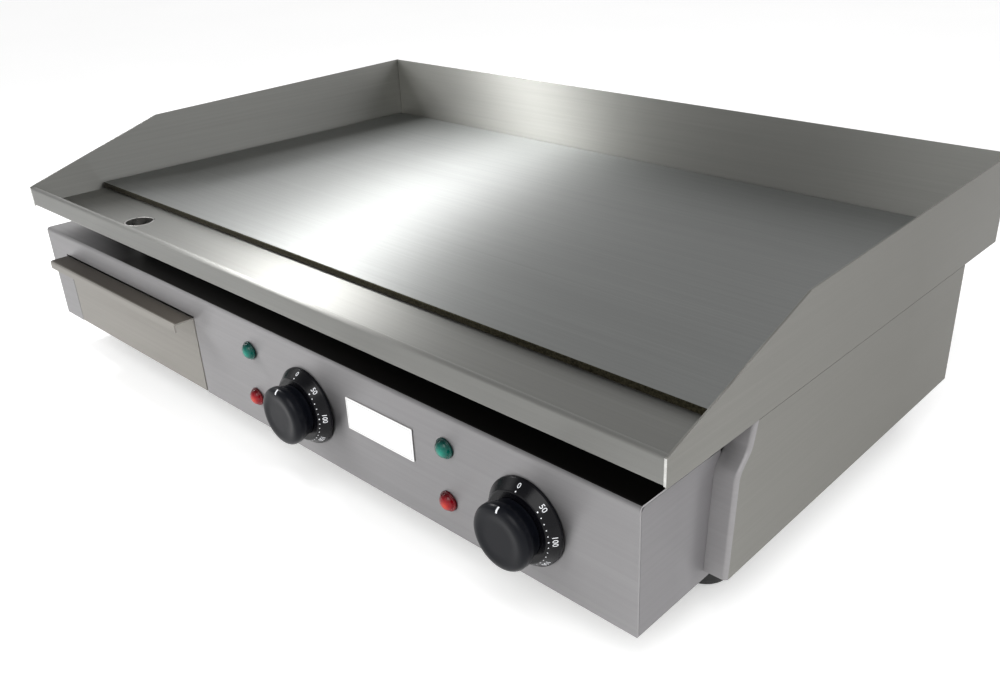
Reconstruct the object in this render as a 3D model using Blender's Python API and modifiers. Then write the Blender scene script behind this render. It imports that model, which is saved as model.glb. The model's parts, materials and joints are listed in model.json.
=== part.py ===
"""Flat top electric griddle: a stainless pan with a steel cooking plate, a control box and a grease drawer.

Row frame: metres, +Z up, +X to the operator's right, the controls face -Y.
The origin is the centre of the footprint, on the surface that the feet stand on.
"""
import math

import bmesh
import bpy
from mathutils import Matrix, Vector

# ---------------------------------------------------------------- driving dimensions (metres)
SHEET = 0.0012              # stainless sheet
GAP = 0.0003                # air left between touching pieces
PAN_WIDTH = 0.730
PAN_DEPTH = 0.453
KNOB_REACH = 0.0245         # how far the knobs stand out in front of the rim

BOX_CLEARANCE = 0.030       # floor to the underside of the control box
BOX_HEIGHT = 0.0868         # control box, underside to deck
BODY_LIFT = 0.0068          # rear body's underside above the control box's
DECK_GAP = 0.0182           # air between the deck and the pan
RIM_HEIGHT = 0.0181
GUARD_KNEE_RISE = 0.0616    # guard height above the pan's underside where its slope ends
GUARD_REAR_RISE = 0.0721
GUARD_KNEE_DEPTH = 0.1345

BOX_INSET = 0.0158          # control box narrower than the pan, each side
BOX_DEPTH = 0.075
BODY_DEPTH = 0.3884         # rim face to the rear panel's outer face
BODY_FRONT_FOOT = 0.0640    # depth of the body sides' front edge, at their lowest point
BODY_FRONT_WAIST = 0.0690   # and where it starts to lean back, a little below the deck
BODY_FRONT_SHOULDER = 0.0805
BODY_FRONT_TOP = 0.0850
WAIST_DROP = 0.011          # waist below the deck
SHOULDER_RISE = 0.001       # shoulder above the deck

PLATE_FRONT = 0.067
PLATE_REAR = 0.4505
PLATE_SIDE_GAP = 0.0015
PLATE_THICKNESS = 0.005
PLATE_TOP_RISE = 0.0077     # plate top above the pan's underside

DRAIN_X = -0.2366
DRAIN_DEPTH = 0.0383
DRAIN_RADIUS = 0.0127

KNOB_X = (0.0553, 0.2682)
KNOB_DROP = 0.0461          # knob axis below the deck
LAMP_OFFSET = -0.0675       # lamps to the left of their knob
LAMP_DROPS = (0.0238, 0.0628)
NAME_PLATE_X = (0.1036, 0.1706)
NAME_PLATE_DROP = (0.0222, 0.0463)

DRAWER_X = (-0.3150, -0.0927)
DRAWER_TOP_DROP = 0.0206    # lip of the drawer below the deck
DRAWER_LIP = 0.0165
DRAWER_LIP_FOLD = 0.0065
DRAWER_LENGTH = 0.200
DRAWER_CLEARANCE = 0.0016

# ---------------------------------------------------------------- places worked out from them
Y_RIM = -(PAN_DEPTH - KNOB_REACH) / 2     # outer face of the rim, which is also the panel's
Z_BOX = BOX_CLEARANCE
Z_BODY = Z_BOX + BODY_LIFT
Z_DECK = Z_BOX + BOX_HEIGHT
Z_PAN = Z_DECK + DECK_GAP
Z_KNOB = Z_DECK - KNOB_DROP
Z_PLATE_TOP = Z_PAN + PLATE_TOP_RISE
Z_PLATE_UNDER = Z_PLATE_TOP - PLATE_THICKNESS
HALF_PAN = PAN_WIDTH / 2
HALF_INNER = HALF_PAN - SHEET - GAP       # pieces that fit between the two side sheets
HALF_BOX = HALF_PAN - BOX_INSET
HALF_SUPPORT = 0.335                      # cross bars and heat shield reach this far from the middle
Y_BODY_REAR = Y_RIM + BODY_DEPTH
ROUND_STEPS = 48
BEND = 0.002                              # radius of a folded edge, at the middle of the sheet

# heating zones: x of the first and last run of each element
ZONES = {"left": (-0.310, -0.070), "right": (0.070, 0.310)}
ELEMENT_RADIUS = 0.004
ELEMENT_RUNS = 4
BULB_X = {"left": -0.110, "right": 0.270}

SHAFT_RADIUS = 0.003
THERMOSTAT_DEPTH = 0.036
BOLT_RADIUS = 0.003
FOOT_X = 0.324
FOOT_DEPTHS = {"front": 0.106, "rear": 0.350}

TRAY_INSET = 0.004                        # drawer tray narrower than its front, each side
Z_RUNNER = Z_BODY + SHEET + GAP
Z_TRAY = Z_RUNNER + SHEET + GAP

GLAND_X = 0.300
GLAND_RADIUS = 0.0098
Z_GLAND = Z_BODY + 0.030
TERMINAL_X = (0.200, 0.262)
TERMINAL_Y = (Y_RIM + 0.325, Y_RIM + 0.347)


# ---------------------------------------------------------------- scene, materials
def clear_scene():
    for obj in list(bpy.data.objects):
        bpy.data.objects.remove(obj, do_unlink=True)


def new_collection(name):
    collection = bpy.data.collections.new(name)
    bpy.context.scene.collection.children.link(collection)
    return collection


def material(name, colour, roughness, metallic=0.0):
    made = bpy.data.materials.new(name)
    made.use_nodes = True
    shader = made.node_tree.nodes["Principled BSDF"]
    shader.inputs["Base Color"].default_value = (*colour, 1.0)
    shader.inputs["Roughness"].default_value = roughness
    shader.inputs["Metallic"].default_value = metallic
    made.diffuse_color = (*colour, 1.0)
    return made


clear_scene()
PARTS = new_collection("flat_top_griddle")
CUTTERS = new_collection("cutters")
STAINLESS = material("brushed_stainless", (0.56, 0.55, 0.53), 0.32, 1.0)
PLATE_STEEL = material("griddle_steel", (0.50, 0.50, 0.49), 0.28, 1.0)
ZINC = material("zinc_plated_steel", (0.60, 0.60, 0.58), 0.40, 1.0)
ELEMENT_STEEL = material("element_sheath", (0.22, 0.20, 0.18), 0.50, 1.0)
COPPER = material("capillary_copper", (0.72, 0.42, 0.28), 0.30, 1.0)
BLACK_PLASTIC = material("black_phenolic", (0.015, 0.015, 0.016), 0.35)
GREEN_LENS = material("green_lens", (0.01, 0.20, 0.13), 0.15)
RED_LENS = material("red_lens", (0.42, 0.02, 0.03), 0.15)
WHITE_PLATE = material("name_plate_white", (0.85, 0.85, 0.83), 0.35)
CERAMIC = material("white_ceramic", (0.80, 0.79, 0.74), 0.45)
RUBBER = material("black_rubber", (0.02, 0.02, 0.02), 0.75)


# ---------------------------------------------------------------- building helpers
def place(obj, finish=None, parent=None):
    """Put a new object in its collection, with a material and a parent empty."""
    for collection in list(obj.users_collection):
        collection.objects.unlink(obj)
    PARTS.objects.link(obj)
    if finish is not None:
        obj.data.materials.clear()
        obj.data.materials.append(finish)
    if parent is not None:
        obj.parent = parent
        obj.matrix_parent_inverse = Matrix.Translation(-parent.location)
    return obj


def axis_empty(name, location):
    empty = bpy.data.objects.new(name, None)
    empty.location = location
    PARTS.objects.link(empty)
    return empty


def mesh_object(name, bm):
    mesh = bpy.data.meshes.new(name)
    bm.to_mesh(mesh)
    bm.free()
    return bpy.data.objects.new(name, mesh)


def box_between(name, low, high):
    bpy.ops.mesh.primitive_cube_add(size=1.0)
    box = bpy.context.active_object
    box.name = name
    low = Vector(low)
    high = Vector(high)
    box.data.transform(Matrix.Translation((low + high) / 2) @ Matrix.Diagonal((*(high - low), 1.0)))
    return box


def bevel(obj, width, segments=1, angle=0.5):
    made = obj.modifiers.new("edge_round", "BEVEL")
    made.width = width
    made.segments = segments
    made.limit_method = "ANGLE"
    made.angle_limit = angle
    return made


def solidify(obj, thickness, offset=0.0):
    made = obj.modifiers.new("sheet_thickness", "SOLIDIFY")
    made.thickness = thickness
    made.offset = offset
    made.use_even_offset = True
    return made


def cut(obj, cutter):
    """Cut an object with another, which becomes a hidden guide."""
    for collection in list(cutter.users_collection):
        collection.objects.unlink(cutter)
    CUTTERS.objects.link(cutter)
    cutter.hide_render = True
    cutter.display_type = "WIRE"
    made = obj.modifiers.new("cut_" + cutter.name, "BOOLEAN")
    made.operation = "DIFFERENCE"
    made.solver = "EXACT"
    made.object = cutter


def cylinder_cutter(name, centre, radius, length, along):
    bpy.ops.mesh.primitive_cylinder_add(vertices=32, radius=radius, depth=length)
    cutter = bpy.context.active_object
    cutter.name = name
    turn = {"Z": Matrix(), "Y": Matrix.Rotation(math.pi / 2, 4, "X")}[along]
    cutter.data.transform(Matrix.Translation(centre) @ turn)
    return cutter


def rounded(points, radius, steps=4):
    """An open path whose inner corners are replaced by arcs."""
    points = [Vector(p) for p in points]
    path = [points[0]]
    for before, corner, after in zip(points, points[1:], points[2:]):
        to_before = (before - corner).normalized()
        to_after = (after - corner).normalized()
        half_angle = to_before.angle(to_after) / 2
        tangent = radius / math.tan(half_angle)
        centre = corner + (to_before + to_after).normalized() * radius / math.sin(half_angle)
        start = corner + to_before * tangent - centre
        end = corner + to_after * tangent - centre
        sweep = start.angle(end)
        for step in range(steps + 1):
            share = step / steps
            blend = math.sin((1 - share) * sweep) * start + math.sin(share * sweep) * end
            path.append(centre + blend / math.sin(sweep))
    path.append(points[-1])
    return path


def bent_sheet(name, path, low, high, along="X", thickness=SHEET, finish=STAINLESS):
    """Sheet metal whose middle surface follows a path, drawn out along X or Y."""
    def point(across, height, distance):
        return (distance, across, height) if along == "X" else (across, distance, height)

    bm = bmesh.new()
    near = [bm.verts.new(point(across, height, low)) for across, height in path]
    far = [bm.verts.new(point(across, height, high)) for across, height in path]
    for index in range(len(path) - 1):
        bm.faces.new((near[index], near[index + 1], far[index + 1], far[index]))
    sheet = place(mesh_object(name, bm), finish)
    solidify(sheet, thickness)
    return sheet


def flat_plate(name, outline, x_middle, thickness=SHEET, finish=STAINLESS):
    """A flat sheet standing in a plane of constant X, from its outline in Y and Z."""
    bm = bmesh.new()
    bm.faces.new([bm.verts.new((x_middle, y, z)) for y, z in outline])
    plate = place(mesh_object(name, bm), finish)
    solidify(plate, thickness)
    return plate


def turned(name, profile, finish, location, facing="up", parent=None, steps=ROUND_STEPS):
    """A turned piece from its half section of (radius, reach), with its outer side running tip to foot.

    Reach runs up, or towards the operator when the piece faces front.
    """
    bm = bmesh.new()
    verts = [bm.verts.new((radius, 0.0, reach)) for radius, reach in profile]
    for start, end in zip(verts, verts[1:]):
        bm.edges.new((start, end))
    if profile[0][0] > 0:
        bm.edges.new((verts[-1], verts[0]))
    piece = place(mesh_object(name, bm), finish, parent)
    screw = piece.modifiers.new("turn", "SCREW")
    screw.axis = "Z"
    screw.steps = steps
    screw.render_steps = steps
    screw.use_merge_vertices = True
    screw.merge_threshold = 0.00001
    screw.use_smooth_shade = True
    piece.location = location
    if facing == "front":
        piece.rotation_euler = (math.pi / 2, 0.0, 0.0)
    return piece


def smooth_route(points, steps):
    """Points read from a smooth curve through the given ones, straight on its first and last stretch."""
    points = [Vector(p) for p in points]
    route = [points[0]]
    for a, b, c, d in zip(points, points[1:], points[2:], points[3:]):
        for step in range(steps):
            t = step / steps
            route.append(0.5 * (2 * b + (c - a) * t + (2 * a - 5 * b + 4 * c - d) * t ** 2
                                + (3 * b - a - 3 * c + d) * t ** 3))
    return route + points[-2:]


def tube(name, points, radius, finish, radii=None):
    """A round bar or wire through the given points."""
    curve = bpy.data.curves.new(name, "CURVE")
    curve.dimensions = "3D"
    curve.bevel_depth = radius
    curve.bevel_resolution = 2
    curve.use_fill_caps = True
    spline = curve.splines.new("POLY")
    spline.points.add(len(points) - 1)
    for index, position in enumerate(points):
        spline.points[index].co = (*position, 1.0)
        spline.points[index].radius = radii[index] if radii else 1.0
    return place(bpy.data.objects.new(name, curve), finish)


# ---------------------------------------------------------------- pan and cooking plate
def make_griddle_plate():
    half = HALF_PAN - SHEET - PLATE_SIDE_GAP
    plate = box_between("griddle_plate", (-half, Y_RIM + PLATE_FRONT, Z_PLATE_UNDER),
                        (half, Y_RIM + PLATE_REAR, Z_PLATE_TOP))
    place(plate, PLATE_STEEL)
    bevel(plate, 0.0006)


def make_side_guard(name, side):
    outline = [(Y_RIM, Z_PAN),
               (Y_RIM, Z_PAN + RIM_HEIGHT),
               (Y_RIM + GUARD_KNEE_DEPTH, Z_PAN + GUARD_KNEE_RISE),
               (Y_RIM + PAN_DEPTH, Z_PAN + GUARD_REAR_RISE),
               (Y_RIM + PAN_DEPTH, Z_PAN)]
    flat_plate(name, outline, side * (HALF_PAN - SHEET / 2))


def make_back_guard():
    rear = Y_RIM + PAN_DEPTH - SHEET / 2
    under = Z_PAN + SHEET / 2
    flange = 0.084
    bend = 0.0012
    path = rounded([(rear - flange, under), (rear, under), (rear, Z_PAN + GUARD_REAR_RISE)], bend)
    bent_sheet("back_splash_guard", path, -HALF_INNER, HALF_INNER)


def make_gutter_tray():
    face = Y_RIM + SHEET / 2
    floor = Z_PAN + SHEET / 2
    hem_top = Z_PAN + RIM_HEIGHT - SHEET / 2
    hem_depth = 0.0038
    hem_drop = 0.008
    floor_depth = 0.098
    bend = 0.0018
    path = rounded([(face + floor_depth, floor), (face, floor), (face, hem_top),
                    (face + hem_depth, hem_top), (face + hem_depth, hem_top - hem_drop)], bend)
    tray = bent_sheet("gutter_tray", path, -HALF_INNER, HALF_INNER)
    cut(tray, cylinder_cutter("drain_hole", (DRAIN_X, Y_RIM + DRAIN_DEPTH, Z_PAN),
                              DRAIN_RADIUS + GAP, 0.01, "Z"))


def make_drain_spout():
    wall = 0.0012
    outside = DRAIN_RADIUS
    inside = DRAIN_RADIUS - wall
    top = SHEET
    foot = top - 0.031
    profile = [(outside, top), (outside, foot), (inside, foot), (inside, top)]
    turned("drain_spout", profile, STAINLESS, (DRAIN_X, Y_RIM + DRAIN_DEPTH, Z_PAN), steps=32)


# ---------------------------------------------------------------- control box
def make_front_panel():
    face = Y_RIM + SHEET / 2
    deck = Z_DECK - SHEET / 2
    baffle = Y_RIM + 0.066
    baffle_top = Z_PAN - 0.0012
    bend = 0.0022
    path = rounded([(face, Z_BOX), (face, deck), (baffle, deck), (baffle, baffle_top)], bend)
    panel = bent_sheet("front_panel", path, -HALF_BOX, HALF_BOX)
    opening_low = (DRAWER_X[0] - DRAWER_CLEARANCE, Y_RIM - 0.01, Z_BOX - 0.01)
    opening_high = (DRAWER_X[1] + DRAWER_CLEARANCE, Y_RIM + 0.01,
                    Z_DECK - DRAWER_TOP_DROP + DRAWER_CLEARANCE)
    cut(panel, box_between("drawer_opening", opening_low, opening_high))
    shaft_hole = 0.0062
    lamp_hole = 0.0062
    for side, knob_x in zip(("left", "right"), KNOB_X):
        cut(panel, cylinder_cutter(side + "_shaft_hole", (knob_x, Y_RIM, Z_KNOB), shaft_hole, 0.01, "Y"))
        for label, drop in zip(("power", "heating"), LAMP_DROPS):
            centre = (knob_x + LAMP_OFFSET, Y_RIM, Z_DECK - drop)
            cut(panel, cylinder_cutter(side + "_" + label + "_lamp_hole", centre, lamp_hole, 0.01, "Y"))
    cut(panel, cylinder_cutter("spout_hole", (DRAIN_X, Y_RIM + DRAIN_DEPTH, Z_DECK),
                               DRAIN_RADIUS + GAP, 0.01, "Z"))


def make_box_side(name, side):
    """Side of the control box, with a nipped corner that clears the bend above it."""
    front = Y_RIM + SHEET + GAP
    rear = Y_RIM + BOX_DEPTH
    top = Z_DECK - SHEET - GAP
    nip = 0.0022
    outline = [(front, Z_BOX), (front, top - nip), (front + nip, top), (rear, top), (rear, Z_BOX)]
    flat_plate(name, outline, side * (HALF_BOX - SHEET / 2))


def make_box_floor():
    half = HALF_BOX - SHEET - GAP
    floor = box_between("control_box_floor", (-half, Y_RIM + SHEET + GAP, Z_BOX),
                        (half, Y_RIM + BOX_DEPTH, Z_BOX + SHEET))
    place(floor, STAINLESS)


# ---------------------------------------------------------------- rear body
def make_side_panel(name, side):
    """Body side with its front edge leaning back, folded inward to meet the control box."""
    top = Z_PAN - GAP
    rear = Y_BODY_REAR
    lean_radius = 0.010
    front = rounded([(Y_RIM + BODY_FRONT_FOOT, Z_BODY),
                     (Y_RIM + BODY_FRONT_WAIST, Z_DECK - WAIST_DROP),
                     (Y_RIM + BODY_FRONT_SHOULDER, Z_DECK + SHOULDER_RISE),
                     (Y_RIM + BODY_FRONT_TOP, top)], lean_radius, 3)
    outside = side * (HALF_PAN - SHEET / 2)
    inside = side * (HALF_BOX + GAP)
    bm = bmesh.new()
    edge = [bm.verts.new((outside, y, z)) for y, z in front]
    folded = [bm.verts.new((inside, y, z)) for y, z in front]
    corners = [bm.verts.new((outside, rear, top)), bm.verts.new((outside, rear, Z_BODY))]
    bm.faces.new(edge + corners)
    for index in range(len(edge) - 1):
        bm.faces.new((edge[index + 1], edge[index], folded[index], folded[index + 1]))
    bmesh.ops.recalc_face_normals(bm, faces=bm.faces)
    panel = place(mesh_object(name, bm), STAINLESS)
    bevel(panel, 0.0025, 3, math.radians(60))
    solidify(panel, SHEET)


def make_rear_panel():
    """Rear panel with louvre slots, hung between the side panels."""
    low = (-HALF_INNER, Y_BODY_REAR - SHEET, Z_BODY)
    high = (HALF_INNER, Y_BODY_REAR, Z_PAN - GAP)
    panel = place(box_between("rear_panel", low, high), STAINLESS)
    slots = 9
    pitch = 0.040
    slot_half = 0.014
    slot_height = 0.005
    row_rises = (0.060, 0.074)
    for row_z in (Z_BODY + rise for rise in row_rises):
        for index in range(slots):
            x = (index - (slots - 1) / 2) * pitch
            slot = box_between("vent_slot", (x - slot_half, Y_BODY_REAR - 0.01, row_z),
                               (x + slot_half, Y_BODY_REAR + 0.01, row_z + slot_height))
            cut(panel, slot)
    cut(panel, cylinder_cutter("gland_hole", (GLAND_X, Y_BODY_REAR, Z_GLAND), GLAND_RADIUS + GAP, 0.01, "Y"))


def make_base_plate():
    low = (-HALF_INNER, Y_RIM + BOX_DEPTH + GAP, Z_BODY)
    high = (HALF_INNER, Y_BODY_REAR - SHEET - GAP, Z_BODY + SHEET)
    base = place(box_between("base_plate", low, high), STAINLESS)
    for end, depth in FOOT_DEPTHS.items():
        for x in (-FOOT_X, FOOT_X):
            cut(base, cylinder_cutter(end + "_bolt_hole", (x, Y_RIM + depth, Z_BODY),
                                      BOLT_RADIUS + GAP, 0.01, "Z"))


# ---------------------------------------------------------------- plate supports and heating
RAIL_FRONT = Y_RIM + 0.102
RAIL_REAR = Y_RIM + 0.364
SUPPORT_TOP = Z_PLATE_UNDER - GAP - SHEET / 2
BAR_SETBACK = 0.0026        # cross bars stand inside the ends of the rails
BAR_LEDGE = 0.0194


def make_support_rail(name, side):
    wall = side * (HALF_PAN - SHEET - GAP - SHEET / 2)
    ledge = wall - side * 0.025
    foot = SUPPORT_TOP - 0.026
    path = rounded([(wall, foot), (wall, SUPPORT_TOP), (ledge, SUPPORT_TOP)], BEND)
    bent_sheet(name, path, RAIL_FRONT, RAIL_REAR, along="Y", finish=ZINC)


def make_cross_bar(name, rail_end, inward):
    web = rail_end + inward * BAR_SETBACK
    foot = SUPPORT_TOP - 0.021
    path = rounded([(web, foot), (web, SUPPORT_TOP), (web + inward * BAR_LEDGE, SUPPORT_TOP)], BEND)
    bent_sheet(name, path, -HALF_SUPPORT, HALF_SUPPORT, finish=ZINC)


def arc(centre, radius, start_degrees, end_degrees, steps):
    """Points on an arc in a horizontal plane."""
    points = []
    for step in range(steps + 1):
        angle = math.radians(start_degrees + (end_degrees - start_degrees) * step / steps)
        points.append((centre[0] + radius * math.cos(angle), centre[1] + radius * math.sin(angle), centre[2]))
    return points


def make_heating_element(name, zone):
    """A sheathed element: four runs front to back joined by U-turns, its two ends turned down."""
    first, last = zone
    pitch = (last - first) / (ELEMENT_RUNS - 1)
    height = Z_PLATE_UNDER - GAP - ELEMENT_RADIUS
    terminal_y = Y_RIM + 0.131
    near = Y_RIM + 0.190
    far = Y_RIM + 0.295
    drop = 0.036
    turn = 0.008
    points = [(first, terminal_y, height - drop)]
    points += [(first, terminal_y, height - turn), (first, terminal_y + 0.3 * turn, height - 0.3 * turn)]
    points += [(first, terminal_y + turn, height)]
    for run in range(ELEMENT_RUNS - 1):
        x_middle = first + (run + 0.5) * pitch
        if run % 2 == 0:
            points += arc((x_middle, far, height), pitch / 2, 180, 0, 8)
        else:
            points += arc((x_middle, near, height), pitch / 2, 180, 360, 8)
    points += [(last, terminal_y + turn, height)]
    points += [(last, terminal_y + 0.3 * turn, height - 0.3 * turn), (last, terminal_y, height - turn)]
    points += [(last, terminal_y, height - drop)]
    tube(name, points, ELEMENT_RADIUS, ELEMENT_STEEL)


def make_heater_clamp(name, zone):
    """A pressed bar under the runs, which holds the element against the plate."""
    y_middle = Y_RIM + 0.242
    under = Z_PLATE_UNDER - 2 * GAP - 2 * ELEMENT_RADIUS - SHEET / 2
    foot = under - 0.006
    half_top = 0.010
    half_foot = 0.014
    path = rounded([(y_middle - half_foot, foot), (y_middle - half_top, under),
                    (y_middle + half_top, under), (y_middle + half_foot, foot)], BEND)
    overhang = 0.018
    bent_sheet(name, path, zone[0] - overhang, zone[1] + overhang, finish=ZINC)


def make_heat_shield():
    front = Y_RIM + 0.138
    rear = Y_RIM + 0.342
    floor = Z_PAN - 0.022
    lip = Z_PAN - 0.012
    path = rounded([(front, lip), (front, floor), (rear, floor), (rear, lip)], 1.5 * BEND)
    half = HALF_SUPPORT - 0.005
    bent_sheet("heat_shield", path, -half, half, finish=ZINC)


# ---------------------------------------------------------------- controls
def make_thermostat(name, knob_x):
    """Thermostat behind the panel, with a nose through it that carries the knob shaft."""
    nose = 0.0055
    can = 0.0215
    cap = 0.0160
    bore = SHAFT_RADIUS + 0.0001
    bore_end = -0.0150
    nose_tip = 0.0020
    can_front = -0.0030
    can_rear = -0.0275
    chamfer = 0.0015
    back = -THERMOSTAT_DEPTH
    profile = [(0.0, bore_end), (bore, bore_end), (bore, nose_tip), (nose, nose_tip), (nose, can_front),
               (can - chamfer, can_front), (can, can_front - chamfer), (can, can_rear + chamfer),
               (cap, can_rear), (cap, back), (0.0, back)]
    turned(name, profile, ZINC, (knob_x, Y_RIM, Z_KNOB), "front", steps=24)


def make_capillary(name, knob_x, bulb_x):
    """Sensing line of a thermostat: a thin copper line that ends in a bulb under the plate."""
    line_radius = 0.0011
    bulb_scale = 2.7
    bulb_length = 0.080
    z_bulb = Z_PLATE_UNDER - GAP - line_radius * bulb_scale
    start_y = Y_RIM + THERMOSTAT_DEPTH + GAP
    start_z = Z_KNOB + 0.010
    points = [(knob_x, start_y, start_z),
              (knob_x, start_y + 0.014, start_z),
              ((knob_x + bulb_x) / 2, Y_RIM + 0.085, Z_PAN - 0.040),
              (bulb_x, Y_RIM + 0.118, Z_PAN - 0.034),
              (bulb_x, Y_RIM + 0.1305, Z_PAN - 0.024),
              (bulb_x, Y_RIM + 0.1330, Z_PAN - 0.010),
              (bulb_x, Y_RIM + 0.1420, z_bulb),
              (bulb_x, Y_RIM + 0.1500, z_bulb)]
    route = smooth_route(points, 4)
    radii = [1.0] * len(route) + [bulb_scale] * 2
    last = route[-1]
    route += [last + Vector((0, 0.003, 0)), last + Vector((0, bulb_length, 0))]
    tube(name, route, line_radius, COPPER, radii)


def make_dial_bezel(name, knob_x):
    """Fixed conical ring round the knob, which carries the temperature scale."""
    rim = 0.0290
    crown = 0.0235
    bore = 0.0065
    height = 0.0090
    skirt = 0.0020
    chamfer = 0.0010
    profile = [(crown, height), (rim - chamfer, skirt + 1.2 * chamfer), (rim, skirt), (rim, GAP), (bore, GAP),
               (bore, height)]
    turned(name, profile, BLACK_PLASTIC, (knob_x, Y_RIM, Z_KNOB), "front")


def make_knob(side, knob_x):
    """Knob with a waist behind its grip, and the shaft it turns; both ride on the knob's axis."""
    axis = axis_empty(side + "_knob_axis", (knob_x, Y_RIM, Z_KNOB))
    face = KNOB_REACH
    grip = 0.0215
    waist = 0.0190
    back = 0.0094
    bore = SHAFT_RADIUS + GAP
    bore_end = 0.0183
    dish = 0.0008
    dish_radius = 0.0130
    face_radius = 0.0170
    grip_front = face - 0.0030
    grip_rear = face - 0.0070
    profile = [(0.0, face - dish), (dish_radius, face - dish), (face_radius, face),
               (grip - 2 * dish, face - dish), (grip, grip_front), (grip, grip_rear),
               (waist, back + 3 * dish), (waist, back), (bore, back), (bore, bore_end), (0.0, bore_end)]
    turned(side + "_knob", profile, BLACK_PLASTIC, axis.location, "front", axis)
    tip = bore_end - GAP
    foot = -0.0140
    shaft = [(0.0, tip), (SHAFT_RADIUS, tip), (SHAFT_RADIUS, foot), (0.0, foot)]
    turned(side + "_knob_shaft", shaft, ZINC, axis.location, "front", axis, 24)


def make_lamp(side, label, x, z, lens_finish):
    """Indicator lamp: a domed lens in front of the panel and its neon holder behind."""
    rim = 0.0071
    dome = 0.0062
    flange = 0.0016
    crown = 0.0056
    rings = 5
    place_at = (x, Y_RIM, z)
    profile = [(0.0, crown)]
    for ring in range(1, rings + 1):
        angle = math.pi / 2 * ring / rings
        profile.append((dome * math.sin(angle), flange + (crown - flange) * math.cos(angle)))
    profile += [(rim, flange), (rim, GAP), (0.0, GAP)]
    turned(side + "_" + label + "_lens", profile, lens_finish, place_at, "front", steps=24)
    barrel = 0.0058
    neck = 0.0045
    shoulder = -0.020
    tail = -0.028
    holder = [(0.0, 0.0), (barrel, 0.0), (barrel, shoulder), (neck, shoulder - 0.002), (neck, tail),
              (0.0, tail)]
    turned(side + "_" + label + "_lamp_holder", holder, CERAMIC, place_at, "front", steps=16)


def make_name_plate():
    thickness = 0.0008
    low = (NAME_PLATE_X[0], Y_RIM - GAP - thickness, Z_DECK - NAME_PLATE_DROP[1])
    high = (NAME_PLATE_X[1], Y_RIM - GAP, Z_DECK - NAME_PLATE_DROP[0])
    plate = place(box_between("name_plate", low, high), WHITE_PLATE)
    bevel(plate, 0.0002)


# ---------------------------------------------------------------- grease drawer
def make_drawer():
    axis = axis_empty("drawer_axis", ((DRAWER_X[0] + DRAWER_X[1]) / 2, Y_RIM, Z_BOX))
    face = Y_RIM + 0.0004
    foot = Z_BOX + 0.0008
    top = Z_DECK - DRAWER_TOP_DROP - SHEET / 2
    lip = Y_RIM - DRAWER_LIP + SHEET / 2
    bend = 0.0014
    path = rounded([(face, foot), (face, top), (lip, top), (lip, top - DRAWER_LIP_FOLD)], bend, 3)
    front = bent_sheet("drawer_front", path, *DRAWER_X)
    place(front, STAINLESS, axis)

    low = Vector((DRAWER_X[0] + TRAY_INSET, Y_RIM + 0.0014, Z_TRAY))
    high = Vector((DRAWER_X[1] - TRAY_INSET, Y_RIM + DRAWER_LENGTH, Z_DECK - 0.030))
    tray = place(box_between("drawer_tray", low, high), STAINLESS, axis)
    wall = 0.001
    inside = box_between("drawer_hollow", low + Vector((wall, wall, wall)),
                         high + Vector((-wall, -wall, wall)))
    cut(tray, inside)


def make_drawer_runner(name, tray_side_x, inward):
    """Angle that the tray slides on: an upright beside the tray and a ledge under it."""
    slack = 0.0004
    upright = tray_side_x - inward * (slack + SHEET / 2)
    height = 0.020
    ledge = 0.012
    bend = 0.0009
    ledge_z = Z_RUNNER + SHEET / 2
    path = rounded([(upright, ledge_z + height), (upright, ledge_z),
                    (upright + inward * ledge, ledge_z)], bend)
    bent_sheet(name, path, Y_RIM + 0.003, Y_RIM + DRAWER_LENGTH + 0.005, along="Y", finish=ZINC)


# ---------------------------------------------------------------- wiring and feet
def make_terminal_block():
    base = Z_BODY + SHEET + GAP
    top = base + 0.020
    block = box_between("terminal_block", (TERMINAL_X[0], TERMINAL_Y[0], base),
                        (TERMINAL_X[1], TERMINAL_Y[1], top))
    place(block, CERAMIC)
    ways = 4
    pitch = (TERMINAL_X[1] - TERMINAL_X[0]) / ways
    barrier = 0.002
    step = 0.006
    step_drop = 0.008
    for way in range(ways):
        left = TERMINAL_X[0] + way * pitch + barrier
        for y_low, y_high in ((TERMINAL_Y[0] - 0.001, TERMINAL_Y[0] + step),
                              (TERMINAL_Y[1] - step, TERMINAL_Y[1] + 0.001)):
            cut(block, box_between("terminal_step", (left, y_low, top - step_drop),
                                   (left + pitch - 2 * barrier, y_high, top + 0.001)))


def make_cord_gland():
    """Inlet for the supply cord in the rear panel."""
    collar = 0.0140
    collar_rear = -0.0050
    shoulder = 0.0118
    nose = 0.0095
    nose_rear = -0.0150
    bore = 0.0048
    inside = 0.0120
    tip = -0.0175
    profile = [(GLAND_RADIUS, inside), (GLAND_RADIUS, -GAP), (collar, -GAP), (collar, collar_rear),
               (shoulder, collar_rear - 0.0018), (nose, nose_rear), (nose - 0.0016, tip), (bore, tip),
               (bore, inside)]
    turned("cord_gland", profile, BLACK_PLASTIC, (GLAND_X, Y_BODY_REAR, Z_GLAND), "front", steps=24)


def make_wire_loom(name, knob_x, terminal_x):
    radius = 0.004
    run_z = Z_BODY + SHEET + 0.0075
    back = Y_RIM + THERMOSTAT_DEPTH + 2 * GAP
    points = [(terminal_x, TERMINAL_Y[0] - GAP, run_z),
              (terminal_x, Y_RIM + 0.300, run_z),
              ((terminal_x + knob_x) / 2, Y_RIM + 0.200, run_z),
              (knob_x, Y_RIM + 0.110, run_z),
              (knob_x, Y_RIM + 0.078, run_z + 0.008),
              (knob_x, Y_RIM + 0.056, Z_KNOB - 0.006),
              (knob_x, back, Z_KNOB - 0.006)]
    tube(name, smooth_route(points, 5), radius, BLACK_PLASTIC)


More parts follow.
